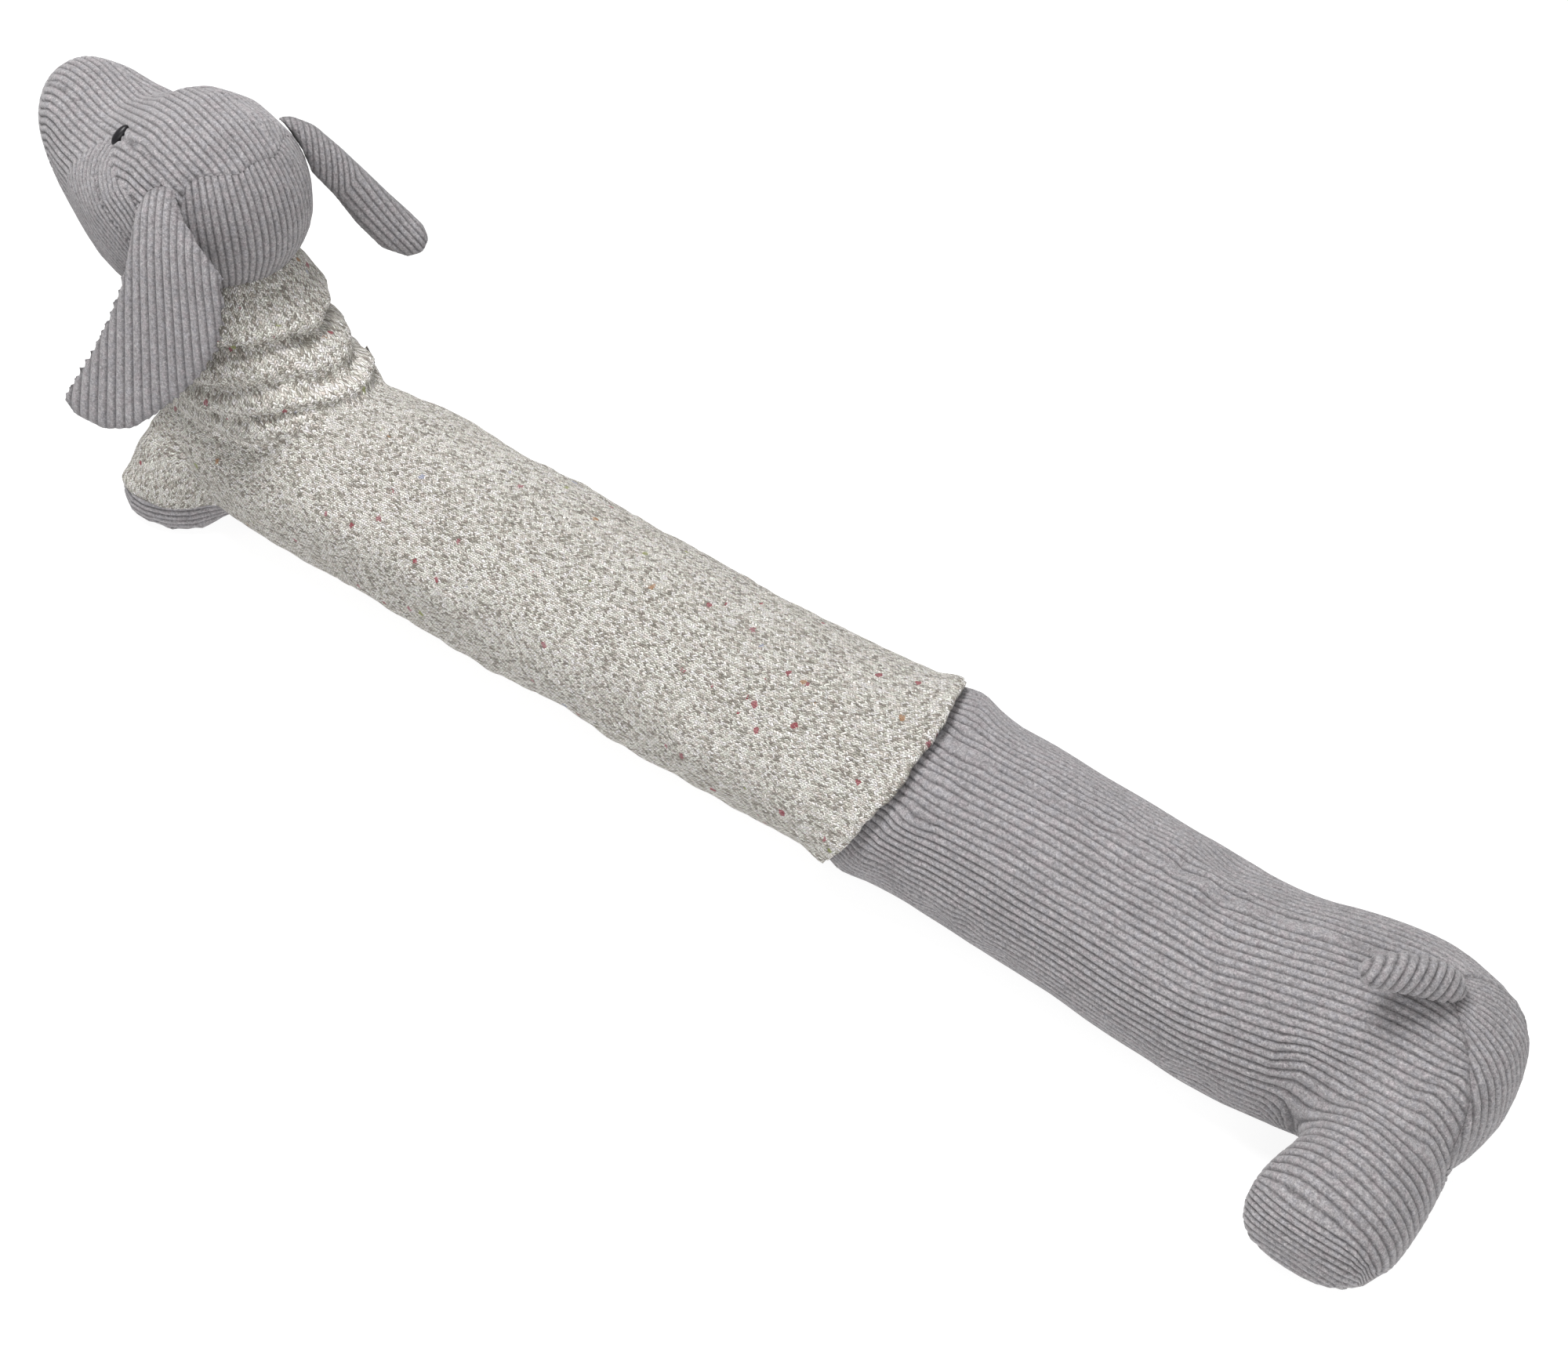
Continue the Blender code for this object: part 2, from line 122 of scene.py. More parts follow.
HEAD = (
    # x,      z,      side,   up,     down
    (-0.2765, 0.200,  0.0080, 0.008,  0.008),
    (-0.2795, 0.200,  0.0200, 0.022,  0.019),
    (-0.2880, 0.200,  0.0345, 0.038,  0.033),
    (-0.3030, 0.200,  0.0470, 0.053,  0.045),
    (-0.3260, 0.200,  0.0530, 0.059,  0.053),
    (-0.3480, 0.200,  0.0540, 0.056,  0.064),
    (-0.3680, 0.200,  0.0520, 0.0455, 0.073),
    (-0.3870, 0.202,  0.0475, 0.0365, 0.076),
    (-0.4050, 0.205,  0.0415, 0.0380, 0.071),
    (-0.4210, 0.209,  0.0365, 0.0400, 0.060),
    (-0.4570, 0.208,  0.0060, 0.0080, 0.009),
)
# The wales of the face lie at even distances from these lines: the bridge of the nose to the eye,
# the eye to the top of the back seam, and the eye down the cheek to the throat.
FACE_LINES = (
    ((-0.4380, -0.0165, 0.2390), (-0.4275, -0.0179, 0.2424), (-0.4143, -0.0190, 0.2409), (-0.4008, -0.0210, 0.2367),
     (-0.3853, -0.0232, 0.2341), (-0.3614, -0.0306, 0.2383)),
    ((-0.3614, -0.0306, 0.2383), (-0.3335, -0.0367, 0.2417), (-0.3171, -0.0382, 0.2364), (-0.3027, -0.0387, 0.2293),
     (-0.2890, -0.0390, 0.2180)),
    ((-0.3614, -0.0306, 0.2383), (-0.3647, -0.0365, 0.2332), (-0.3665, -0.0410, 0.2280), (-0.3643, -0.0472, 0.2197),
     (-0.3562, -0.0520, 0.2082), (-0.3435, -0.0537, 0.1993), (-0.3351, -0.0521, 0.1898), (-0.3240, -0.0470, 0.1700)),
)
# Where the seam to the rump panel runs, by how far round from the top it is.
RUMP_SEAM = (
    # degrees, x
    (-180.0,  0.440),
    (-130.0,  0.462),
    (-95.0,   0.464),
    (-60.0,   0.458),
    (-38.0,   0.444),
    (-12.0,   0.4270),
    (4.0,     0.4350),
    (20.0,    0.4490),
    (46.0,    0.4580),
    (66.0,    0.4600),
    (88.0,    0.4605),
    (130.0,   0.4600),
    (180.0,   0.440),
)
# Dents and puckers of the cord body: where, how wide and how deep.
PUCKERS = (
    # x,      round,  wide,   deep
    (0.262,   4.0,    0.0050, 0.0022),
    (0.276,  -10.0,   0.0070, 0.0014),
    (0.290,   14.0,   0.0060, 0.0012),
    (0.305,   2.0,    0.0055, 0.0026),
    (0.328,   4.0,    0.0060, 0.0026),
    (0.318,  -26.0,   0.0110, 0.0030),
    (0.222,   100.0,  0.0060, 0.0016),
    (0.204,   112.0,  0.0070, 0.0018),
    (0.240,   116.0,  0.0080, 0.0016),
    (0.350,   108.0,  0.0090, 0.0018),
)


# ---------------------------------------------------------------- small maths
def columns(rows, at):
    """The columns of a table, by straight lines between its rows, at many values of its first column."""
    table = np.array(sorted(rows))
    return [np.interp(at, table[:, 0], table[:, k]) for k in range(1, table.shape[1])]


def smooth(t):
    t = np.clip(t, 0.0, 1.0)
    return t * t * (3 - 2 * t)


def unit(v):
    return v / np.maximum(np.linalg.norm(v, axis=-1, keepdims=True), 1e-12)


def wave(p, pitch, seed):
    """A gentle lumpy value between about -1 and 1 in space."""
    rng = np.random.default_rng(seed)
    total = 0
    for _ in range(6):
        way = unit(rng.normal(size=3)) * math.tau / pitch * rng.uniform(0.6, 1.5)
        total = total + np.sin(p @ way + rng.uniform(0, math.tau))
    return total / 3.0


def off_lines(p, lines):
    """How far each point is from the nearest of some bent lines."""
    best = np.full(len(p), 9.0)
    for line in lines:
        line = np.array(line)
        for a, b in zip(line[:-1], line[1:]):
            way = b - a
            t = np.clip((p - a) @ way / (way @ way), 0.0, 1.0)
            best = np.minimum(best, np.linalg.norm(p - a - t[:, None] * way, axis=1))
    return best


def body_angle(p):
    """Degrees round the body tube from its top towards the left flank, for many points."""
    sway, side, top, belly = columns(BODY, p[:, 0])
    y = (p[:, 1] - sway) / side
    z = (p[:, 2] - (top - belly) / 2) / ((top + belly) / 2)
    return np.degrees(np.arctan2(-y, z)), np.hypot(y, z)


def head_inside(p, grow=0.0):
    """Below 1 inside the head."""
    z0, side, up, down = columns(HEAD, p[:, 0])
    dz = p[:, 2] - z0
    tall = np.where(dz > 0, up, down) + grow
    value = np.hypot(p[:, 1] / (side + grow), dz / tall)
    return np.where((p[:, 0] > -0.2765 + grow) | (p[:, 0] < -0.457), 9.0, value)


# ---------------------------------------------------------------- meshes as arrays
def arrays(mesh):
    mesh.calc_loop_triangles()
    points = np.empty(len(mesh.vertices) * 3)
    mesh.vertices.foreach_get("co", points)
    faces = np.empty(len(mesh.loop_triangles) * 3, np.int32)
    mesh.loop_triangles.foreach_get("vertices", faces)
    return points.reshape(-1, 3), faces.reshape(-1, 3).astype(np.int64)


def remeshed(sources, voxel):
    """One closed skin round some closed meshes, given as (points, faces)."""
    points, faces, start = [], [], 0
    for p, f in sources:
        points.append(p)
        faces.append(f + start)
        start += len(p)
    mesh = bpy.data.meshes.new("skin")
    mesh.from_pydata(np.concatenate(points).tolist(), [], np.concatenate(faces).tolist())
    obj = bpy.data.objects.new("skin", mesh)
    bpy.context.scene.collection.objects.link(obj)
    modifier = obj.modifiers.new("skin", "REMESH")
    modifier.mode = "VOXEL"
    modifier.voxel_size = voxel
    bpy.context.view_layer.update()
    done = bpy.data.meshes.new_from_object(obj.evaluated_get(bpy.context.evaluated_depsgraph_get()))
    out = arrays(done)
    bpy.data.objects.remove(obj, do_unlink=True)
    bpy.data.meshes.remove(mesh)
    bpy.data.meshes.remove(done)
    return out


def cad_arrays(node):
    """A CAD node's triangles in the row frame, before the shift."""
    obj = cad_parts[node]
    points, faces = arrays(obj.data)
    world = np.array(obj.matrix_world)
    return points @ world[:3, :3].T + world[:3, 3] - SHIFT, faces


def edges_of(faces):
    e = np.sort(np.concatenate([faces[:, [0, 1]], faces[:, [1, 2]], faces[:, [2, 0]]]), axis=1)
    return np.unique(e, axis=0)


def relaxed(points, faces, times, keep=None):
    """Laplacian smoothing with a push back out, so that the shape keeps its size."""
    e = edges_of(faces)
    count = np.bincount(e.ravel(), minlength=len(points))[:, None]
    for step in range(times * 2):
        total = np.zeros_like(points)
        for k in range(3):
            total[:, k] = np.bincount(e[:, 0], points[e[:, 1], k], len(points)) \
                + np.bincount(e[:, 1], points[e[:, 0], k], len(points))
        move = (total / count - points) * (0.6 if step % 2 == 0 else -0.58)
        if keep is not None:
            move *= keep[:, None]
        points = points + move
    return points


def normals_of(points, faces):
    a, b, c = points[faces[:, 0]], points[faces[:, 1]], points[faces[:, 2]]
    n = np.cross(b - a, c - a)
    out = np.zeros_like(points)
    for k in range(3):
        for j in range(3):
            out[:, k] += np.bincount(faces[:, j], n[:, k], len(points))
    return unit(out)


def sliced(data, faces, value, levels):
    """Cuts triangles along lines of equal value. data holds the point columns; value is one per point."""
    eps = 1e-7
    levels = np.sort(np.asarray(levels, float))
    near = np.clip(np.searchsorted(levels, value), 0, len(levels) - 1)
    for shift in (0, -1):
        at = levels[np.clip(near + shift, 0, len(levels) - 1)]
        value = np.where(np.abs(value - at) < 4 * eps, at + 8 * eps, value)
    done = []
    for _ in range(400):
        if not len(faces):
            break
        low, high = value[faces].min(1), value[faces].max(1)
        k = np.searchsorted(levels, low + eps, side="right")
        at = levels[np.minimum(k, len(levels) - 1)]
        cut = (k < len(levels)) & (at < high - eps)
        done.append(faces[~cut])
        faces, at = faces[cut], at[cut]
        if not len(faces):
            break
        over = value[faces] > at[:, None] + eps / 2
        single = over.sum(1) == 1
        lone = np.where(single, over.argmax(1), (~over).argmax(1))
        turn = (lone[:, None] + np.arange(3)) % 3
        a, b, c = np.take_along_axis(faces, turn, 1).T
        both = np.sort(np.concatenate([np.stack([a, b], 1), np.stack([a, c], 1)]), axis=1)
        level = np.concatenate([at, at])
        code = (both[:, 0] << 41) | (both[:, 1] << 20) | np.searchsorted(levels, level)
        key, inverse = np.unique(code, return_inverse=True)
        inverse = inverse.reshape(-1)
        p, q, lv = key >> 41, (key >> 20) & 0x1FFFFF, levels[key & 0xFFFFF]
        t = ((lv - value[p]) / (value[q] - value[p]))[:, None]
        new = data[p] + (data[q] - data[p]) * t
        start = len(data)
        data = np.concatenate([data, new])
        value = np.concatenate([value, lv])
        ab, ac = start + inverse[:len(a)], start + inverse[len(a):]
        faces = np.concatenate([np.stack([a, ab, ac], 1), np.stack([ab, b, c], 1), np.stack([ab, c, ac], 1)])
    faces = np.concatenate(done) if done else faces
    return data, faces, value


def merged(data, faces):
    """Joins points in the same place and drops what nothing uses."""
    used = np.unique(faces)
    place = np.full(len(data), -1)
    place[used] = np.arange(len(used))
    data, faces = data[used], place[faces]
    grid = np.round((data[:, :3] + 1.0) * 1e6).astype(np.int64)
    _, first, inverse = np.unique((grid[:, 0] << 42) | (grid[:, 1] << 21) | grid[:, 2], return_index=True, return_inverse=True)
    faces = inverse.reshape(-1)[faces]
    keep = (faces[:, 0] != faces[:, 1]) & (faces[:, 1] != faces[:, 2]) & (faces[:, 0] != faces[:, 2])
    return data[first], faces[keep]


def made(name, points, faces, material, values=None):
    mesh = bpy.data.meshes.new(name)
    mesh.vertices.add(len(points))
    mesh.vertices.foreach_set("co", (points + SHIFT).astype(np.float32).ravel())
    mesh.loops.add(len(faces) * 3)
    mesh.loops.foreach_set("vertex_index", faces.astype(np.int32).ravel())
    mesh.polygons.add(len(faces))
    mesh.polygons.foreach_set("loop_start", np.arange(0, len(faces) * 3, 3, dtype=np.int32))
    mesh.update(calc_edges=True)
    mesh.validate()
    mesh.shade_smooth()
    if values is not None and len(mesh.vertices) == len(values):
        # painted shade: this attribute darkens the cord colour down into the wale grooves and towards the seams
        attribute = mesh.attributes.new("groove_shade", "FLOAT", "POINT")
        attribute.data.foreach_set("value", values.astype(np.float32))
    mesh.materials.append(material)
    obj = bpy.data.objects.new(name, mesh)
    bpy.context.scene.collection.objects.link(obj)
    return obj


# ---------------------------------------------------------------- corduroy
def ribbed(points, faces, normals, panels, flat_floor=True):
    """Cuts each panel along its own wales and raises them. panels: list of (face mask, field, edge distance, pile)."""
    out_p, out_f, out_w, start = [], [], [], 0
    for mask, field, edge, pile in panels:
        part = faces[mask]
        if not len(part):
            continue
        data = np.column_stack([points, normals, edge])
        low, high = field[part].min(), field[part].max()
        levels, heights = [], []
        for n in range(int(low // WALE) - 1, int(high // WALE) + 2):
            for phase, _ in WALE_STEPS:
                levels.append((n + phase) * WALE)
        data, part, value = sliced(data, part, field, levels)
        data = np.column_stack([data, value])
        data, part = merged(data, part)
        phase = np.mod(data[:, 7] / WALE, 1.0)
        steps = np.array(WALE_STEPS + ((1.0, 0.0),))
        rise = np.interp(phase, steps[:, 0], steps[:, 1])
        rim = smooth(data[:, 6] / 0.0024)
        # painted shade for the colour: darkest deep in each groove between wales, and dimmer near seams and hems where
        # the wales sink
        painted_groove_shade = rise * (0.45 + 0.55 * rim)
        p = data[:, :3] + unit(data[:, 3:6]) * (pile * (rise * rim - 0.72))[:, None]
        if flat_floor:
            p[:, 2] = np.maximum(p[:, 2], 0.0)
        out_p.append(p)
        out_f.append(part + start)
        out_w.append(painted_groove_shade)
        start += len(p)
    return np.concatenate(out_p), np.concatenate(out_f), np.concatenate(out_w)


def leg_field(p, side):
    """Metres down a hind leg from its root, for the left (-1) or right (1) one."""
    if side < 0:
        a, b = np.array([0.4365, -0.030, 0.045]), np.array([0.4275, -0.110, 0.025])
    else:
        a, b = np.array([0.408, 0.024, 0.036]), np.array([0.395, 0.069, 0.013])
    way = unit(b - a)
    return (p - a) @ way, np.linalg.norm((p - a) - ((p - a) @ way)[:, None] * way, axis=1)


def make_body(material):
    points, faces = remeshed([cad_arrays("body")], 0.0064)
    points = relaxed(points, faces, 3)
    points[:, 2] = np.maximum(points[:, 2], 0.0)
    normals = normals_of(points, faces)
    angle, reach = body_angle(points)
    # dents, and the gather where the jumper grips the body
    push = 0.0007 * wave(points, 0.05, 3) * (points[:, 0] > 0.19)
    for x, turn, wide, deep in PUCKERS:
        d = np.hypot(points[:, 0] - x, np.radians(angle - turn) * 0.0505)
        push -= deep * np.exp(-(d / wide) ** 2) - 0.35 * deep * np.exp(-((d - 2 * wide) / wide) ** 2)
    hem = HEM_X + HEM_DROP * (np.cos(np.radians(angle - HEM_TURN)) - 1) / 2
    behind = points[:, 0] - hem
    push += 0.0012 * np.exp(-((behind - 0.013) / 0.008) ** 2)
    push *= (reach < 1.25) & (points[:, 0] > 0.1)
    push -= 0.0016 * smooth((0.03 - points[:, 0]) / 0.02) * smooth((points[:, 2] - 0.026) / 0.006)
    push -= 0.0050 * smooth((-0.20 - points[:, 0]) / 0.03) * smooth((points[:, 2] - 0.078) / 0.012)
    points = points + normals * push[:, None]
    # one field of wales down the flank and on down the leg
    girth = np.radians(angle) * 0.0505
    x = points[:, 0]
    down_l, _ = leg_field(points, -1)
    down_r, _ = leg_field(points, 1)
    on_l = smooth((down_l - 0.004) / 0.026) * smooth((x - 0.380) / 0.018)
    on_r = smooth((down_r - 0.004) / 0.024) * smooth((x - 0.355) / 0.012)
    sole = smooth((down_l - 0.066) / 0.008)
    # it counts both ways from the spine seam and meets again under the belly
    spine = np.interp(x, [0.17, 0.30, 0.43], [0.0105, 0.0035, -0.004]) * smooth((0.13 - np.abs(girth)) / 0.08)
    field = np.abs(girth - spine)
    field = field * (1 - on_l) + (0.0465 + down_l + sole * 0.9 * (0.045 - points[:, 2])) * on_l
    field = field * (1 - on_r) + (0.052 + down_r) * on_r
    haunch = smooth((x - 0.410) / 0.020) * (points[:, 1] < 0)
    field = field - np.maximum(field - (0.0495 + down_l + sole * 0.9 * (0.045 - points[:, 2])), 0) * haunch
    # the wales waver a little, most where the cloth is gathered behind the hem
    field = field + 0.00040 * wave(points, 0.022, 21)
    field = field + 0.0011 * np.exp(-((behind - 0.012) / 0.013) ** 2) * wave(points, 0.015, 22) * (x > 0.1)
    # the front feet: rings
    front = (x < -0.20) & (points[:, 2] < 0.045)
    field = np.where(front, points[:, 2] * 1.24 + 0.001, field)
    # rump panel, left and right of the spine seam
    seam = columns(RUMP_SEAM, angle)[0]
    past = x - seam
    rump = np.maximum(past, down_l * 0 - 1) - 0.0
    centre = points[faces].mean(1)
    data = np.column_stack([points, normals, girth, field, past, angle, down_l, down_r])
    data, faces, _ = sliced(data, faces, past + 10 * (x < 0.3) * -1, [0.0])
    data, faces = merged(data, faces)
    # the seam on the spine, in front of the tail
    seam_turn = data[:, 6] - np.interp(data[:, 0], [0.17, 0.30, 0.43], [0.0105, 0.0035, -0.004])
    cut = np.where((data[:, 0] > 0.05) & (np.abs(data[:, 6]) < 0.03), seam_turn, np.sign(seam_turn) * 0.02 - 0.03 * (data[:, 0] <= 0.05))
    points, normals = data[:, :3], data[:, 3:6]
    centre = points[faces].mean(1)
    mid_past = data[faces, 8].mean(1)
    leg_near = (data[faces, 10].mean(1) > 0.012) & (centre[:, 0] > 0.37)
    leg_far = (data[faces, 11].mean(1) > 0.016) & (centre[:, 0] > 0.35)
    is_rump = (mid_past > 0) & (centre[:, 0] > 0.3) & ~leg_near & ~leg_far
    dressed = (centre[:, 0] < 0.05) & ~((centre[:, 0] < -0.30) & (centre[:, 2] < 0.034))
    spine_edge = np.where(data[:, 0] < 0.425, np.abs(seam_turn), 1.0)
    edge = np.minimum(spine_edge, np.abs(data[:, 8]) + 10 * (data[:, 0] < 0.3))
    leg_d = np.maximum(data[:, 10], 0) * (data[:, 0] > 0.37)
    edge = np.where(leg_d > 0.012, 1.0, edge)
    round_rump = np.arctan2(points[:, 1] + 0.006, points[:, 0] - 0.408) * 0.056
    everywhere = np.ones(len(points))
    under = np.zeros(len(faces), bool)
    under[:] = dressed | (centre[:, 2] < 0.0012)
    panels = [
        (~is_rump & ~under, data[:, 7], edge, PILE),
        (is_rump & ~under, round_rump, np.abs(data[:, 8]) + 0.0005, PILE),
    ]
    p, f, w = ribbed(points, faces, normals, panels)
    plain = faces[under]
    f = np.concatenate([f, plain + len(p)])
    p = np.concatenate([p, points])
    # the plain cloth under the jumper takes one even value of the painted groove shade
    w = np.concatenate([w, everywhere * 0.8])
    p[:, 2] = np.maximum(p[:, 2], 0.0)
    used = np.unique(f)
    place = np.full(len(p), -1)
    place[used] = np.arange(len(used))
    return made("body_cord", p[used], place[f], material, w[used])


def make_head(material):
    points, faces = remeshed([cad_arrays("head")], 0.0028)
    points = relaxed(points, faces, 5)
    normals = normals_of(points, faces)
    x, y, z = points.T
    # the seam from ear to ear: behind it the back of the head, in two halves
    seam = -0.2865 - 0.0145 * smooth((np.abs(y) - 0.010) / 0.028) - 0.006 * smooth((0.225 - z) / 0.05)
    past = x - seam
    data = np.column_stack([points, normals, past])
    data, faces, _ = sliced(data, faces, past, [0.0])
    data, faces = merged(data, faces)
    points, normals, past = data[:, :3], data[:, 3:6], data[:, 6]
    x, y, z = points.T
    mirrored = points * [1, -1, 1]
    chord = np.minimum(off_lines(points, FACE_LINES), off_lines(mirrored, FACE_LINES) + 0.030)
    face_field = 0.104 * np.arcsin(np.clip(chord / 0.104, 0, 1))
    # behind the seam the wales stand upright and draw together at the collar
    back_field = np.arctan2(y, x + 0.334) * 0.0570 + 0.0021
    is_back = past[faces].mean(1) > 0
    edge = np.abs(past)
    back_edge = edge + 0.0013
    panels = [
        (~is_back, face_field + 0.0021, edge + 0.0013, PILE),
        (is_back, back_field, back_edge, PILE),
    ]
    p, f, w = ribbed(points, faces, normals, panels, flat_floor=False)
    return made("head_cord", p, f, material, w)


def make_ear(node, name, voxel, field_of, rim_of, material, pile=PILE):
    points, faces = remeshed([cad_arrays(node)], voxel)
    points = relaxed(points, faces, 2)
    normals = normals_of(points, faces)
    panels = [(np.ones(len(faces), bool), field_of(points), rim_of(points, normals), pile)]
    p, f, w = ribbed(points, faces, normals, panels, flat_floor=False)
    return made(name, p, f, material, w)


def ear_rim(p, n):
    """Grows from the outline of an ear inwards, so that its wales end in a hem."""
    flat = np.linalg.svd(p - p.mean(0), full_matrices=False)[2][2]
    border = p[np.abs(n @ flat) < 0.5]
    near = np.full(len(p), 9.0)
    for spot in border:
        near = np.minimum(near, np.linalg.norm(p - spot, axis=1))
    return 0.0002 + near * 0.30


def tail_rim(p, n):
    return np.ones(len(p))


def near_ear_field(p):
    """Wales hang down the ear and fan out from its root."""
    q = -0.233 - p @ np.array([0.774, 0.633, 0.0])
    low = np.clip((0.232 - p[:, 2]) / 0.766, -0.02, 0.3)
    return q / (1 + 2 * low)


def far_ear_field(p):
    root, tip = np.array([-0.3140, 0.0370, 0.2300]), np.array([-0.2650, 0.0915, 0.1520])
    way = unit(tip - root)
    face = unit(np.array([-0.72, 0.516, -0.465]))
    one = unit(np.cross(way, face))
    rel = p - (root + tip) / 2
    along, wide = rel @ way, rel @ one
    late = np.maximum(along + 0.005, 0.0)
    return wide * (0.85 + 7.0 * late) + 0.95 * along - 0.75 * late


def tail_field(p):
    """Wales run slanting round the tail."""
    way = unit(np.array([-0.56, -0.68, 0.47]))
    side = unit(np.cross(way, [0.0, 0.0, 1.0]))
    return p @ way * 0.85 + p @ side * 0.5


# ---------------------------------------------------------------- the jumper
def tube(rings):
    rings = [np.asarray(r, float) for r in rings]
    n = len(rings[0])
    points = np.concatenate(rings + [rings[0].mean(0)[None], rings[-1].mean(0)[None]])
    faces = []
    for i in range(len(rings) - 1):
        for k in range(n):
            a, b = i * n + k, i * n + (k + 1) % n
            faces += [(a, b, b + n), (a, b + n, a + n)]
    first, last, base = len(points) - 2, len(points) - 1, (len(rings) - 1) * n
    for k in range(n):
        faces += [(first, (k + 1) % n, k), (last, base + k, base + (k + 1) % n)]
    faces = np.array(faces, np.int64)
    volume = np.einsum("ij,ij->i", points[faces[:, 0]], np.cross(points[faces[:, 1]], points[faces[:, 2]])).sum()
    return points, faces if volume > 0 else faces[:, ::-1]


def curve(rows, at):
    """Smooth values of a table at one key."""
    table = np.array(sorted(rows))
    key = table[:, 0]
    at = min(max(at, key[0]), key[-1])
    i = min(max(int(np.searchsorted(key, at)) - 1, 0), len(key) - 2)
    a, b = table[i], table[i + 1]
    before, after = table[max(i - 1, 0)], table[min(i + 2, len(key) - 1)]
    span = key[i + 1] - key[i]
    t = (at - key[i]) / span
    slope_a = (b - before) / (key[i + 1] - before[0]) * span
    slope_b = (after - a) / (after[0] - key[i]) * span
    return ((2 * t**3 - 3 * t**2 + 1) * a + (t**3 - 2 * t**2 + t) * slope_a
            + (3 * t**2 - 2 * t**3) * b + (t**3 - t**2) * slope_b)


def knit_forms():
    turn = np.arange(96) * math.tau / 96
    rings = []
    for x in np.concatenate([np.linspace(-0.388, -0.35, 9), np.linspace(-0.34, 0.168, 52), [0.180, 0.192]]):
        _, sway, side, top, belly = curve(BODY, min(x, 0.168))
        z = (top - belly) / 2 + (top + belly) / 2 * np.sin(turn)
        rings.append(np.column_stack([np.full(96, x), sway + side * np.cos(turn), np.maximum(z, 0.0)]))
    forms = [tube(rings)]
    rings = []
    for z in np.linspace(0.050, 0.159, 110):
        _, x, along, across, lean = curve(NECK, z)
        tilt = math.radians(lean)
        # the folds crowd together towards the front, wander a little and fade towards the near flank
        wander = 0.0016 * np.sin(turn * 2 + z * 60) + 0.0009 * np.sin(turn * 5 + 1.0)
        rows = np.array(FOLDS)
        out = np.interp(z + wander, rows[:, 0], rows[:, 1])
        partly = np.interp(z + wander, rows[:, 0], rows[:, 2])
        near = smooth((np.cos(turn + 2.2) - 0.2) / 0.8)
        out = out * (1 - 0.6 * partly * near) + 0.0016 * partly * near
        fore = (along + out) * np.cos(turn)
        rings.append(np.column_stack([x + fore * math.cos(tilt), (across + out) * np.sin(turn),
                                      z + fore * math.sin(tilt)]))
    forms.append(tube(rings))
    for side in (1, -1):
        spots = [np.array([x, side * y, z]) for x, y, z, _, _ in FRONT]
        rings = []
        for i, row in enumerate(FRONT):
            way = unit(spots[min(i + 1, len(spots) - 1)] - spots[max(i - 1, 0)])
            thick_way = unit(np.cross(way, [1.0, 0.0, 0.0]))
            rings.append(spots[i] + np.outer(np.cos(turn) * (row[3] + 0.0034), [1.0, 0.0, 0.0])
                         + np.outer(np.sin(turn) * (row[4] + 0.0034), thick_way))
        rings.append(rings[-1] - [0.0, 0.0, 0.014])
        forms.append(tube(rings))
    return forms


def make_jumper(material):
    points, faces = remeshed(knit_forms(), 0.0024)
    points = relaxed(points, faces, 1, 1.0 - 0.7 * smooth((points[:, 2] - 0.09) / 0.02))
    normals = normals_of(points, faces)
    angle, reach = body_angle(points)
    on_body = smooth((0.115 - points[:, 2]) / 0.02) * (reach < 1.2)
    push = on_body * (0.0012 * wave(points * [0.6, 1, 1], 0.045, 8) + 0.0005 * wave(points, 0.018, 11))
    hem = HEM_X + HEM_DROP * (np.cos(np.radians(angle - HEM_TURN)) - 1) / 2
    behind = points[:, 0] - hem
    push += 0.0022 * np.exp(-((behind + 0.001) / 0.009) ** 2) * (points[:, 0] > 0.05)
    push += 0.0006 * np.sin(angle * 0.55) * np.exp(-((behind + 0.001) / 0.012) ** 2) * (points[:, 0] > 0.05)
    push += 0.0010 * (1 - on_body) * wave(points, 0.030, 5)
    points = points + normals * push[:, None]
    points[:, 2] = np.maximum(points[:, 2], 0.0)
    # cut away what lies beyond the hem, below the sleeves and inside the head
    for what in ("hem", "sleeve", "head"):
        normals = normals_of(points, faces)
        angle, reach = body_angle(points)
        if what == "hem":
            hem = HEM_X + HEM_DROP * (np.cos(np.radians(angle - HEM_TURN)) - 1) / 2
            value = np.where(points[:, 0] < 0.0, -1.0, points[:, 0] - hem - 0.0008 * np.sin(np.radians(angle) * 9))
        elif what == "sleeve":
            value = np.where(points[:, 0] > -0.25, -1.0, SLEEVE_Z - points[:, 2] - np.maximum(points[:, 0] + 0.318, 0) * 2)
        else:
            value = 1.0 - head_inside(points, -0.0012)
            value = np.where(points[:, 2] < 0.09, -1.0, value)
        data, faces, value = sliced(points, faces, value, [0.0])
        faces = faces[value[faces].mean(1) < 0]
        points, faces = merged(data, faces)
    # keep the largest piece only
    label = np.arange(len(points))
    for _ in range(2000):
        low = label[faces].min(1)
        new = label.copy()
        for j in range(3):
            np.minimum.at(new, faces[:, j], low)
        if (new == label).all():
            break
        label = new[new]
    main = np.bincount(label[faces[:, 0]]).argmax()
    points, faces = merged(points, faces[label[faces[:, 0]] == main])
    obj = made("jumper_knit", points, faces, material)
    solid = obj.modifiers.new("thickness", "SOLIDIFY")
    solid.thickness = KNIT_THICK
    solid.offset = -1.0
    solid.use_rim = True
    bpy.context.view_layer.update()
    mesh = bpy.data.meshes.new_from_object(obj.evaluated_get(bpy.context.evaluated_depsgraph_get()))
    old = obj.data
    obj.modifiers.clear()
    obj.data = mesh
    bpy.data.meshes.remove(old)
    for vertex in mesh.vertices:
        vertex.co.z = max(vertex.co.z, 0.0)
    knit_uv(mesh)
    return obj


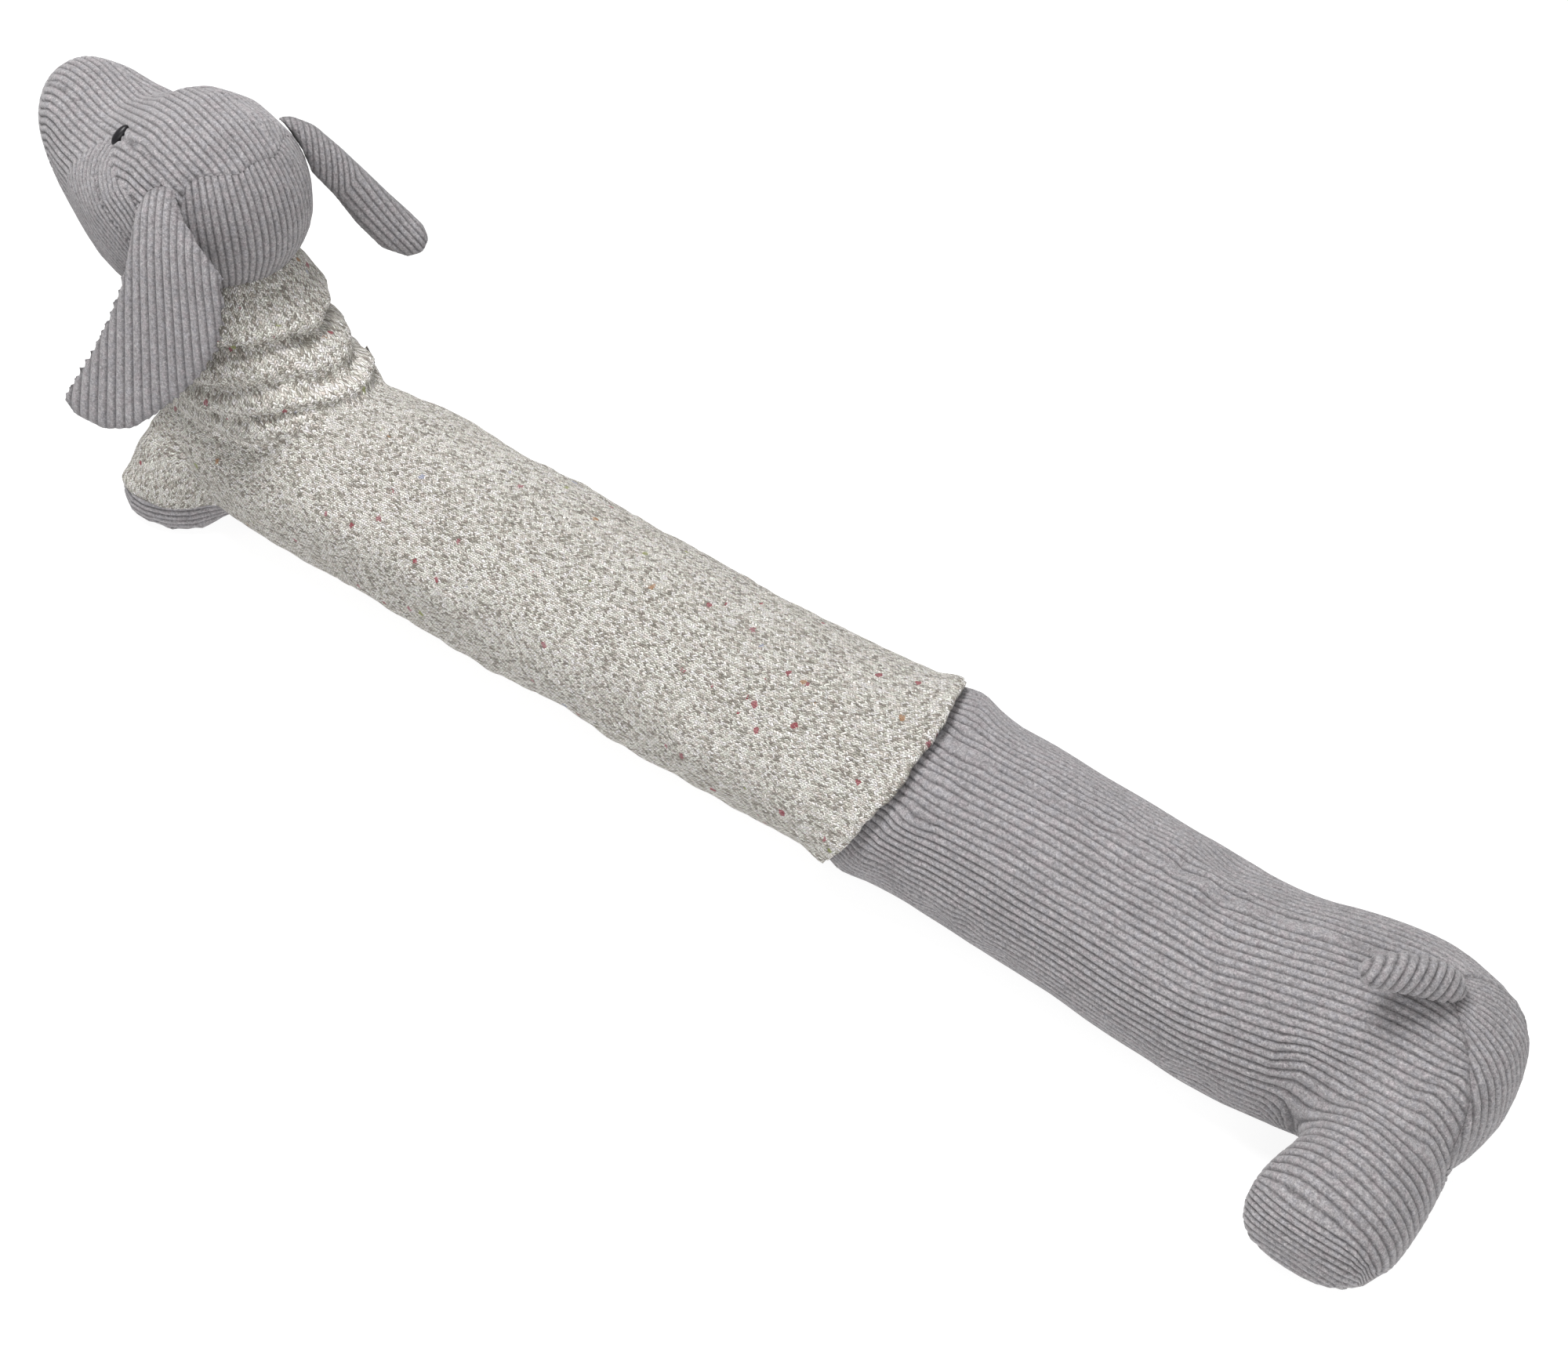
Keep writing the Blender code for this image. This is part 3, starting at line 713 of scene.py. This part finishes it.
def knit_uv(mesh):
    """Metres round and along each part of the jumper, for the stitches."""
    n = len(mesh.loops)
    index = np.empty(n, np.int32)
    mesh.loops.foreach_get("vertex_index", index)
    points = np.empty(len(mesh.vertices) * 3, np.float32)
    mesh.vertices.foreach_get("co", points)
    points = points.reshape(-1, 3).astype(float) - SHIFT
    total = np.empty(len(mesh.polygons), np.int32)
    mesh.polygons.foreach_get("loop_total", total)
    face = np.repeat(np.arange(len(total)), total)
    centre = np.zeros((len(total), 3))
    for k in range(3):
        centre[:, k] = np.bincount(face, points[index, k], len(total)) / total
    z, x, along, across = centre[:, 2], *columns(NECK, centre[:, 2])[:3]
    neck = np.hypot((centre[:, 0] - x) / along, centre[:, 1] / across)
    _, body = body_angle(centre)
    fx, fy, fa, ft = columns([(r[2], r[0], abs(r[1]), r[3], r[4]) for r in FRONT], z)
    leg = np.hypot((centre[:, 0] - fx) / fa, (np.abs(centre[:, 1]) - fy) / ft)
    is_leg = (centre[:, 0] < -0.30) & (z < 0.062) & (np.abs(leg - 1.1) < np.abs(body - 1.0) + 0.02)
    is_neck = ~is_leg & (z > 0.075) & (centre[:, 0] < -0.2) & ((body > 1.07) | (z > 0.108))
    corner = points[index]
    def turned(y, x_, y0, x0, radius):
        a = np.arctan2(y, x_)
        middle = np.arctan2(y0, x0)
        a = middle + (a - middle + math.pi) % math.tau - math.pi
        return a * radius
    sway, side, top, belly = columns(BODY, corner[:, 0])
    csway, cside, ctop, cbelly = [v[face] for v in columns(BODY, centre[:, 0])]
    u = turned(corner[:, 1] - sway, corner[:, 2] - 0.048, centre[face, 1] - csway, centre[face, 2] - 0.048, 0.0520)
    v = corner[:, 0].copy()
    un = turned(corner[:, 1], corner[:, 0] - x[face], centre[face, 1], centre[face, 0] - x[face], 0.052)
    m = is_neck[face]
    u[m], v[m] = un[m], corner[m, 2] * 1.15 - corner[m, 0] * 0.25
    sy = np.sign(centre[face, 1])
    ul = turned(corner[:, 1] - sy * fy[face], corner[:, 0] - fx[face], centre[face, 1] - sy * fy[face], centre[face, 0] - fx[face], 0.034)
    m = is_leg[face]
    u[m], v[m] = ul[m], corner[m, 2] * 1.1
    layer = mesh.uv_layers.new(name="knit")
    layer.data.foreach_set("uv", np.column_stack([u, v]).astype(np.float32).ravel())


# ---------------------------------------------------------------- materials
class Nodes:
    def __init__(self, name):
        self.material = bpy.data.materials.new(name)
        self.material.use_nodes = True
        self.tree = self.material.node_tree
        self.shader = self.tree.nodes["Principled BSDF"]

    def add(self, kind, sockets=None, **settings):
        node = self.tree.nodes.new(kind)
        for key, value in settings.items():
            setattr(node, key, value)
        for key, value in (sockets or {}).items():
            self.put(node.inputs[key], value)
        return node

    def put(self, socket, value):
        if isinstance(value, bpy.types.NodeSocket):
            self.tree.links.new(value, socket)
        elif value is not None:
            socket.default_value = value

    def maths(self, operation, a, b=None, c=None):
        node = self.add("ShaderNodeMath", operation=operation)
        for socket, value in zip(node.inputs, (a, b, c)):
            self.put(socket, value)
        return node.outputs[0]

    def ramp(self, value, stops):
        node = self.add("ShaderNodeValToRGB", {"Fac": value})
        ramp = node.color_ramp
        while len(ramp.elements) < len(stops):
            ramp.elements.new(0.5)
        for element, (at, colour) in zip(ramp.elements, stops):
            element.position = at
            element.color = (*colour, 1.0) if len(colour) == 3 else colour
        return node.outputs["Color"]

    def mix(self, factor, a, b, blend="MIX"):
        node = self.add("ShaderNodeMix", data_type="RGBA", blend_type=blend)
        self.put(node.inputs[0], factor)
        self.put(node.inputs[6], a if isinstance(a, bpy.types.NodeSocket) else (*a, 1.0))
        self.put(node.inputs[7], b if isinstance(b, bpy.types.NodeSocket) else (*b, 1.0))
        return node.outputs[2]

    def noise(self, vector, scale, detail=2.0, rough=0.6):
        return self.add("ShaderNodeTexNoise", {"Vector": vector, "Scale": scale, "Detail": detail, "Roughness": rough}).outputs["Fac"]


def cord_material():
    n = Nodes("cord_look")
    place = n.add("ShaderNodeTexCoord").outputs["Object"]
    groove_shade = n.add("ShaderNodeAttribute", attribute_name="groove_shade", attribute_type="GEOMETRY").outputs["Fac"]
    fine = n.noise(place, 1500.0, 2.0)
    tuft = n.noise(place, 620.0, 3.0, 0.7)
    broad = n.noise(place, 60.0, 2.0)
    # painted shade: the ramp darkens the cord by the groove shade value, from the wale tops down into the grooves and
    # seams
    base = n.ramp(groove_shade, ((0.0, (0.140, 0.134, 0.136)), (0.45, (0.236, 0.227, 0.230)), (0.85, (0.312, 0.301, 0.304)), (1.0, (0.338, 0.326, 0.329))))
    speck = n.ramp(tuft, ((0.28, (0.55, 0.545, 0.55)), (0.50, (1.0, 1.0, 1.0)), (0.70, (1.45, 1.44, 1.45))))
    colour = n.mix(0.85, base, speck, "MULTIPLY")
    glint = n.ramp(fine, ((0.36, (0.74, 0.73, 0.76)), (0.55, (1.0, 1.0, 1.0)), (0.72, (1.40, 1.38, 1.40))))
    colour = n.mix(0.8, colour, glint, "MULTIPLY")
    tint = n.ramp(n.noise(place, 260.0, 1.0), ((0.35, (0.98, 0.99, 1.02)), (0.5, (1.0, 1.0, 1.0)), (0.66, (1.03, 0.985, 1.0))))
    colour = n.mix(0.8, colour, tint, "MULTIPLY")
    worn = n.ramp(broad, ((0.3, (0.93, 0.93, 0.93)), (0.7, (1.06, 1.06, 1.06))))
    colour = n.mix(1.0, colour, worn, "MULTIPLY")
    n.put(n.shader.inputs["Base Color"], colour)
    n.shader.inputs["Roughness"].default_value = 0.92
    n.shader.inputs["Specular IOR Level"].default_value = 0.15
    n.shader.inputs["Sheen Weight"].default_value = 0.22
    n.shader.inputs["Sheen Roughness"].default_value = 0.45
    height = n.maths("ADD", n.maths("MULTIPLY", tuft, 0.7), n.maths("MULTIPLY", fine, 0.3))
    bump = n.add("ShaderNodeBump", {"Height": height, "Strength": 0.95, "Distance": 0.0012})
    n.put(n.shader.inputs["Normal"], bump.outputs["Normal"])
    return n.material


def knit_material():
    n = Nodes("knit_look")
    uv = n.add("ShaderNodeUVMap", uv_map="knit").outputs["UV"]
    place = n.add("ShaderNodeTexCoord").outputs["Object"]
    parts = n.add("ShaderNodeSeparateXYZ", {"Vector": uv})
    warp = n.maths("MULTIPLY", n.maths("SUBTRACT", n.noise(place, 300.0, 1.0), 0.5), 0.9)
    u = n.maths("ADD", n.maths("DIVIDE", parts.outputs["X"], 0.0022), warp)
    v = n.maths("ADD", n.maths("DIVIDE", parts.outputs["Y"], 0.0017), warp)
    across = n.maths("FRACT", u)
    half = n.maths("ABSOLUTE", n.maths("SUBTRACT", across, 0.5))
    slant = n.maths("ADD", v, n.maths("MULTIPLY", half, 1.5))
    row = n.maths("FRACT", slant)
    loop = n.maths("SINE", n.maths("MULTIPLY", row, math.pi))
    limb = n.maths("SINE", n.maths("MULTIPLY", n.maths("MULTIPLY", half, 2.0), math.pi))
    stitch = n.maths("MULTIPLY", n.maths("POWER", loop, 0.7), n.maths("ADD", n.maths("MULTIPLY", limb, 0.75), 0.25))
    cell = n.add("ShaderNodeCombineXYZ", {"X": n.maths("FLOOR", n.maths("MULTIPLY", u, 2.0)), "Y": n.maths("FLOOR", slant), "Z": 1.0}).outputs[0]
    mark = n.add("ShaderNodeTexWhiteNoise", {"Vector": cell}, noise_dimensions="3D")
    long_cell = n.add("ShaderNodeCombineXYZ", {"X": n.maths("FLOOR", n.maths("MULTIPLY", u, 0.55)), "Y": n.maths("FLOOR", n.maths("MULTIPLY", slant, 0.5)), "Z": 4.0}).outputs[0]
    patch = n.add("ShaderNodeTexWhiteNoise", {"Vector": long_cell}, noise_dimensions="3D").outputs["Value"]
    fibre = n.noise(place, 1700.0, 2.0)
    cloud = n.noise(place, 240.0, 2.0)
    marl = n.maths("ADD", n.maths("MULTIPLY", mark.outputs["Value"], 0.76), n.maths("ADD", n.maths("MULTIPLY", patch, 0.10), n.maths("MULTIPLY", cloud, 0.14)))
    base = n.ramp(marl, ((0.14, (0.31, 0.285, 0.25)), (0.32, (0.60, 0.57, 0.515)), (0.55, (0.88, 0.855, 0.81)), (0.82, (1.0, 0.985, 0.95))))
    yarn = n.ramp(mark.outputs["Color"], ((0.0, (1.04, 0.95, 0.96)), (0.35, (1.02, 1.0, 0.98)), (0.6, (0.985, 1.01, 0.96)), (0.8, (1.0, 0.98, 1.02))))
    base = n.mix(0.9, base, yarn, "MULTIPLY")
    colour = n.mix(0.75, base, n.ramp(fibre, ((0.34, (0.80, 0.80, 0.80)), (0.54, (1.0, 1.0, 1.0)), (0.72, (1.18, 1.18, 1.18)))), "MULTIPLY")
    # painted shade: the colour darkens in the gaps between stitch loops and lightens a little on their tops
    colour = n.mix(0.9, colour, n.ramp(stitch, ((0.0, (0.30, 0.285, 0.26)), (0.30, (0.80, 0.79, 0.775)), (0.6, (1.05, 1.05, 1.05)), (1.0, (1.12, 1.12, 1.12)))), "MULTIPLY")
    fleck = n.add("ShaderNodeTexVoronoi", {"Vector": place, "Scale": 165.0, "Randomness": 1.0}, feature="F1")
    chance = n.add("ShaderNodeSeparateColor", {"Color": fleck.outputs["Color"]})
    pick = n.ramp(chance.outputs["Red"], ((0.0, (0.36, 0.022, 0.050)), (0.34, (0.34, 0.37, 0.10)), (0.50, (0.42, 0.45, 0.60)), (0.64, (0.50, 0.26, 0.12)), (0.78, (0.42, 0.12, 0.15))))
    pick.node.color_ramp.interpolation = "CONSTANT"
    size = n.maths("ADD", fleck.outputs["Distance"], n.maths("MULTIPLY", n.maths("SUBTRACT", n.noise(place, 700.0, 2.0), 0.5), 0.6))
    here = n.maths("MULTIPLY", n.maths("LESS_THAN", size, 0.29), n.maths("LESS_THAN", chance.outputs["Green"], 0.060))
    colour = n.mix(n.maths("MULTIPLY", here, 0.80), colour, pick)
    n.put(n.shader.inputs["Base Color"], colour)
    n.shader.inputs["Roughness"].default_value = 0.95
    n.shader.inputs["Specular IOR Level"].default_value = 0.1
    n.shader.inputs["Sheen Weight"].default_value = 0.15
    n.shader.inputs["Sheen Roughness"].default_value = 0.5
    height = n.maths("ADD", n.maths("MULTIPLY", stitch, 0.75), n.maths("MULTIPLY", fibre, 0.35))
    bump = n.add("ShaderNodeBump", {"Height": height, "Strength": 1.0, "Distance": 0.0016})
    n.put(n.shader.inputs["Normal"], bump.outputs["Normal"])
    return n.material


def bead_material():
    n = Nodes("bead_look")
    n.shader.inputs["Base Color"].default_value = (0.012, 0.011, 0.013, 1.0)
    n.shader.inputs["Roughness"].default_value = 0.34
    n.shader.inputs["Specular IOR Level"].default_value = 0.25
    return n.material


def make_bead(node, name, material):
    points, faces = merged(*cad_arrays(node))
    return made(name, points, faces, material)


# ---------------------------------------------------------------- build
cord, knit, bead = cord_material(), knit_material(), bead_material()
pieces = [
    (make_body(cord), "body", "cord"),
    (make_head(cord), "head", "cord"),
    (make_ear("ear_left", "ear_left_cord", 0.0020, near_ear_field, ear_rim, cord), "ear_left", "cord"),
    (make_ear("ear_right", "ear_right_cord", 0.0022, far_ear_field, ear_rim, cord), "ear_right", "cord"),
    (make_ear("tail", "tail_cord", 0.0022, tail_field, tail_rim, cord, 0.0011), "tail", "cord"),
]
for obj, node, slot in pieces:
    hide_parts(node)
    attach(obj, "root")
jumper = make_jumper(knit)
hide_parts("jumper")
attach(jumper, "root")
for node in ("eye_left", "eye_right", "nose"):
    obj = make_bead(node, node + "_bead", bead)
    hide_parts(node)
    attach(obj, "root")

# ---------------------------------------------------------------- stage, light, camera
floor_mesh = bpy.data.meshes.new("floor")
floor_mesh.from_pydata([(-6, -6, 0), (6, -6, 0), (6, 6, 0), (-6, 6, 0)], [], [(0, 1, 2, 3)])
floor = bpy.data.objects.new("floor", floor_mesh)
floor.location.z = -0.0005
bpy.context.scene.collection.objects.link(floor)
pale = Nodes("pale_floor")
pale.shader.inputs["Base Color"].default_value = (0.22, 0.22, 0.22, 1.0)
pale.shader.inputs["Roughness"].default_value = 0.9
pale.shader.inputs["Specular IOR Level"].default_value = 0.0
pale.shader.inputs["Emission Color"].default_value = (1.0, 1.0, 1.0, 1.0)
pale.shader.inputs["Emission Strength"].default_value = 0.88
floor_mesh.materials.append(pale.material)

world = bpy.data.worlds.new("studio")
bpy.context.scene.world = world
world.use_nodes = True
world.node_tree.nodes["Background"].inputs["Color"].default_value = (1.0, 1.0, 1.0, 1.0)
world.node_tree.nodes["Background"].inputs["Strength"].default_value = 0.46


def area_light(name, at, to, size, power):
    data = bpy.data.lights.new(name, "AREA")
    data.shape = "DISK"
    data.size = size
    data.energy = power
    obj = bpy.data.objects.new(name, data)
    obj.location = at
    obj.rotation_euler = (Vector(to) - Vector(at)).to_track_quat("-Z", "Y").to_euler()
    bpy.context.scene.collection.objects.link(obj)


area_light("key", (-0.45, -0.15, 2.1), (0.0, 0.0, 0.05), 0.9, 43.0)
area_light("fill", (1.5, -1.3, 1.3), (-0.1, 0.0, 0.05), 1.4, 19.0)

data = bpy.data.cameras.new("camera")
data.sensor_width = 36.0
data.lens = 54.0
data.clip_start = 0.05
data.clip_end = 50.0
camera = bpy.data.objects.new("camera", data)
az, el = math.radians(39.3), math.radians(40.0)
back = Vector((math.sin(az) * math.cos(el), -math.cos(az) * math.cos(el), math.sin(el)))
right = Vector((math.cos(az), math.sin(az), 0.0))
above = back.cross(right)
turn = Matrix((right, above, back)).transposed()
camera.matrix_world = Matrix.Translation(Vector((0.636 - 0.0039, -0.690 + 0.0074, 0.8223))) @ turn.to_4x4()
bpy.context.scene.collection.objects.link(camera)
bpy.context.scene.camera = camera
bpy.context.scene.view_settings.view_transform = "Standard"
bpy.context.scene.view_settings.look = "None"
